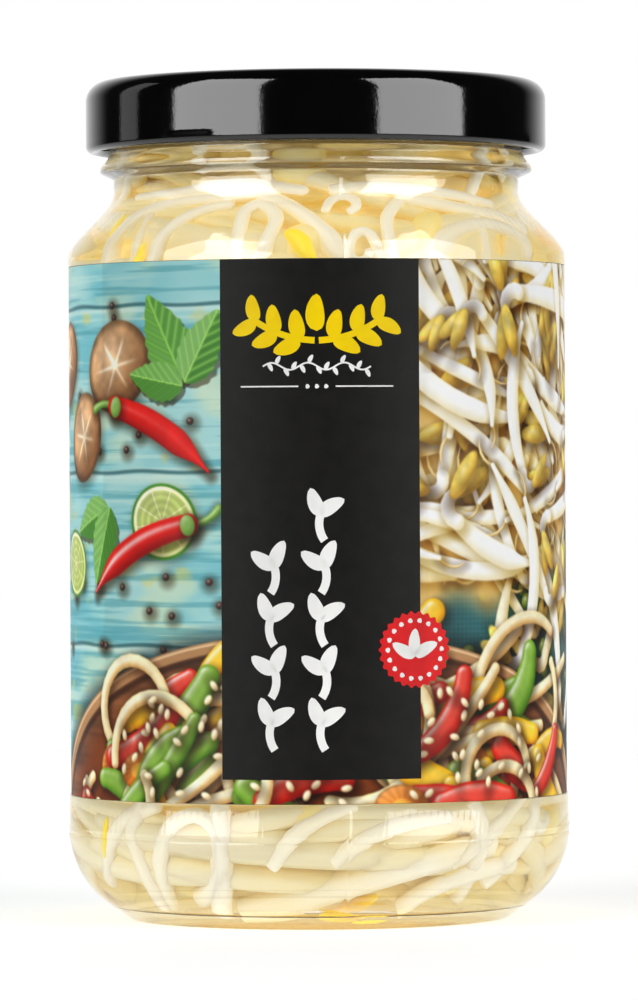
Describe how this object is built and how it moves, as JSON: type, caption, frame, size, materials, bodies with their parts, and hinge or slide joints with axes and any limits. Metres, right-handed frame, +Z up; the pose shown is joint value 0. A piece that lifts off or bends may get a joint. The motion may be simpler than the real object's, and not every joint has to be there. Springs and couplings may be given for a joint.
{
  "type": "jar of bean sprouts",
  "caption": "Round glass jar filled with bean sprouts in brine, with a wrap label and a screw-off lacquered lid that rises as it is turned.",
  "frame": {"origin": "middle of the jar's bearing ring, on the surface it stands on", "axes": "+Z up along the jar's axis; the middle of the label faces -Y"},
  "size_m": [0.0728, 0.0728, 0.121],
  "materials": {
    "clear_glass": "gloss",
    "black_lacquer": "gloss",
    "sealing_compound": "satin",
    "printed_paper": "satin",
    "brine": "gloss",
    "sprout_flesh": "satin"
  },
  "bodies": {
    "jar": {"jar_glass": "clear_glass", "label": "printed_paper", "brine": "brine", "sprouts_low": "sprout_flesh", "sprouts_middle": "sprout_flesh", "sprouts_high": "sprout_flesh"},
    "seal": {"liner": "sealing_compound"},
    "lid": {"lid": "black_lacquer"}
  },
  "joints": [
    {"name": "lid_rise", "type": "slide", "parent": "jar", "child": "seal", "axis": [0, 0, 1], "range_m": [0, 0.00113], "stiffness_N_per_m": 10, "springref_m": 0.0214},
    {"name": "lid_twist", "type": "hinge", "parent": "seal", "child": "lid", "pos_m": [0, 0, 0.1117], "axis": [0, 0, 1], "range_deg": [0, 68]}
  ],
  "couplings": [
    {"joint": "lid_rise", "follows": "lid_twist", "m_per_rad": 0.00095493}
  ]
}
